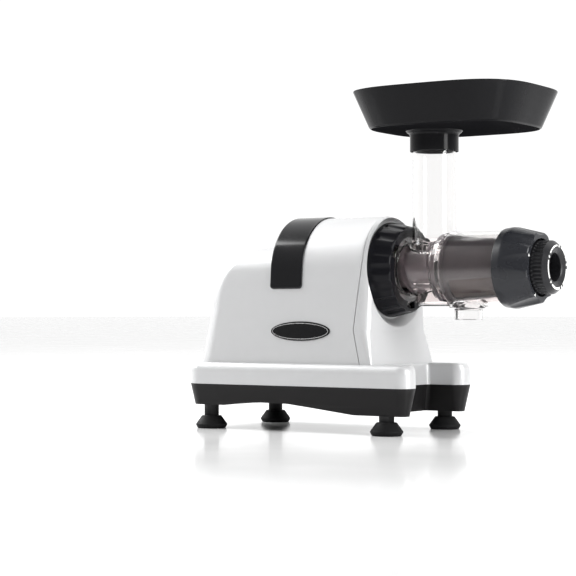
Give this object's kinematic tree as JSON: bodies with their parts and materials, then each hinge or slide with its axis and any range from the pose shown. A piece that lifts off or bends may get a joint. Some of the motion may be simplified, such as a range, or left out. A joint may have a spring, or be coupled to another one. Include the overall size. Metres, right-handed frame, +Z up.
{
  "type": "masticating juicer",
  "caption": "Horizontal auger juicer: silver motor housing on a footed plinth, clear drum with feed chute and black tray, pulp end cap with adjusting knob, juice spout below.",
  "frame": {"origin": "on the table under the middle of the whole object: the middle of its length and width, at the bottom of the rubber feet", "axes": "+X along the barrel towards the pulp outlet, +Y towards the far long side with the switch and cord entry, +Z up"},
  "size_m": [0.455, 0.1928, 0.393],
  "materials": {
    "silver_housing": "light silver metallic paint, satin gloss",
    "black_pan": "satin black moulding",
    "black_gloss": "polished black moulding",
    "rubber": "matt black rubber",
    "screw_steel": "zinc-plated steel",
    "cast_aluminium": "as die-cast",
    "bearing_steel": "ground steel",
    "bronze": "sintered bronze",
    "lamination_steel": "stacked lamination edges",
    "copper_winding": "varnished copper wire",
    "white_nylon": "moulded nylon",
    "capacitor_can": "drawn can",
    "zinc_clip": "zinc-plated strip",
    "switch_black": "fine texture",
    "switch_grey": "smooth",
    "clear_drum": "clear, slightly smoky, polished",
    "screen_grey": "fine texture",
    "screen_amber": "fine perforated screen, warm brown",
    "auger_resin": "hard moulded resin, satin",
    "cap_charcoal": "satin charcoal moulding",
    "knob_charcoal": "satin charcoal moulding with fine ribs"
  },
  "bodies": {
    "base": {"motor_housing": "silver_housing", "end_bezel": "silver_housing", "base_cover": "silver_housing", "base_pan": "black_pan", "carry_handle": "black_gloss", "badge": "black_gloss", "foot_1": "rubber", "foot_2": "rubber", "foot_3": "rubber", "foot_4": "rubber", "foot_screw_1": "screw_steel", "foot_screw_2": "screw_steel", "foot_screw_3": "screw_steel", "foot_screw_4": "screw_steel", "housing_screw_1": "screw_steel", "housing_screw_2": "screw_steel", "housing_screw_3": "screw_steel", "housing_screw_4": "screw_steel", "gearbox_case": "cast_aluminium", "gearbox_cover": "cast_aluminium", "gearbox_screws": "screw_steel", "ring_retainer": "screw_steel", "output_bearing": "bearing_steel", "middle_bushing": "bronze", "motor_bearings": "bearing_steel", "motor_end_frames": "cast_aluminium", "stator_core": "lamination_steel", "stator_coils": "copper_winding", "motor_bolts": "screw_steel", "capacitor": "capacitor_can", "capacitor_clip": "zinc_clip", "switch_frame": "switch_black", "cord_gland": "rubber"},
    "rotor": {"rotor_core": "lamination_steel", "motor_shaft": "bearing_steel", "motor_pinion": "bearing_steel", "cooling_fan": "white_nylon"},
    "middle": {"middle_shaft": "bearing_steel", "middle_gear": "white_nylon", "middle_pinion": "bearing_steel"},
    "output": {"output_shaft": "bearing_steel", "output_gear": "white_nylon"},
    "switch": {"switch_rocker": "switch_grey"},
    "ring": {"lock_ring": "black_gloss"},
    "drum_unit": {"drum": "clear_drum", "drum_seal": "rubber", "auger_seal": "rubber", "screen_frame": "screen_grey", "screen_mesh": "screen_amber"},
    "auger": {"auger": "auger_resin"},
    "cap": {"end_cap": "cap_charcoal", "cap_seal": "rubber"},
    "knob": {"adjusting_knob": "knob_charcoal"},
    "hopper": {"hopper_tray": "black_gloss"}
  },
  "joints": [
    {"name": "motor_spin", "type": "hinge", "parent": "base", "child": "rotor", "pos_m": [-0.09, 0, 0.124], "axis": [1, 0, 0], "continuous": true},
    {"name": "middle_spin", "type": "hinge", "parent": "base", "child": "middle", "pos_m": [-0.02, 0.02536, 0.14183], "axis": [1, 0, 0], "continuous": true},
    {"name": "output_spin", "type": "hinge", "parent": "base", "child": "output", "pos_m": [-0.01, 0, 0.1895], "axis": [1, 0, 0], "continuous": true},
    {"name": "auger_spin", "type": "hinge", "parent": "drum_unit", "child": "auger", "pos_m": [0.1, 0, 0.1895], "axis": [1, 0, 0], "continuous": true},
    {"name": "lock_ring_turn", "type": "hinge", "parent": "base", "child": "ring", "pos_m": [0.0275, 0, 0.1895], "axis": [1, 0, 0], "range_deg": [0, 30]},
    {"name": "drum_slide", "type": "slide", "parent": "base", "child": "drum_unit", "axis": [1, 0, 0], "range_m": [0, 0.1]},
    {"name": "end_cap_turn", "type": "hinge", "parent": "drum_unit", "child": "cap", "pos_m": [0.19, 0, 0.1895], "axis": [1, 0, 0], "range_deg": [0, 30]},
    {"name": "knob_turn", "type": "hinge", "parent": "cap", "child": "knob", "pos_m": [0.215, 0, 0.1895], "axis": [1, 0, 0], "range_deg": [0, 120]},
    {"name": "hopper_lift", "type": "slide", "parent": "drum_unit", "child": "hopper", "axis": [0, 0, 1], "range_m": [0, 0.06]},
    {"name": "switch_rock", "type": "hinge", "parent": "base", "child": "switch", "pos_m": [-0.15, 0.07162, 0.112], "axis": [1, 0, 0], "range_deg": [-12, 12]}
  ],
  "couplings": [
    {"joint": "middle_spin", "follows": "motor_spin", "ratio": -0.24},
    {"joint": "output_spin", "follows": "motor_spin", "ratio": 0.048},
    {"joint": "auger_spin", "follows": "motor_spin", "ratio": 0.048}
  ]
}
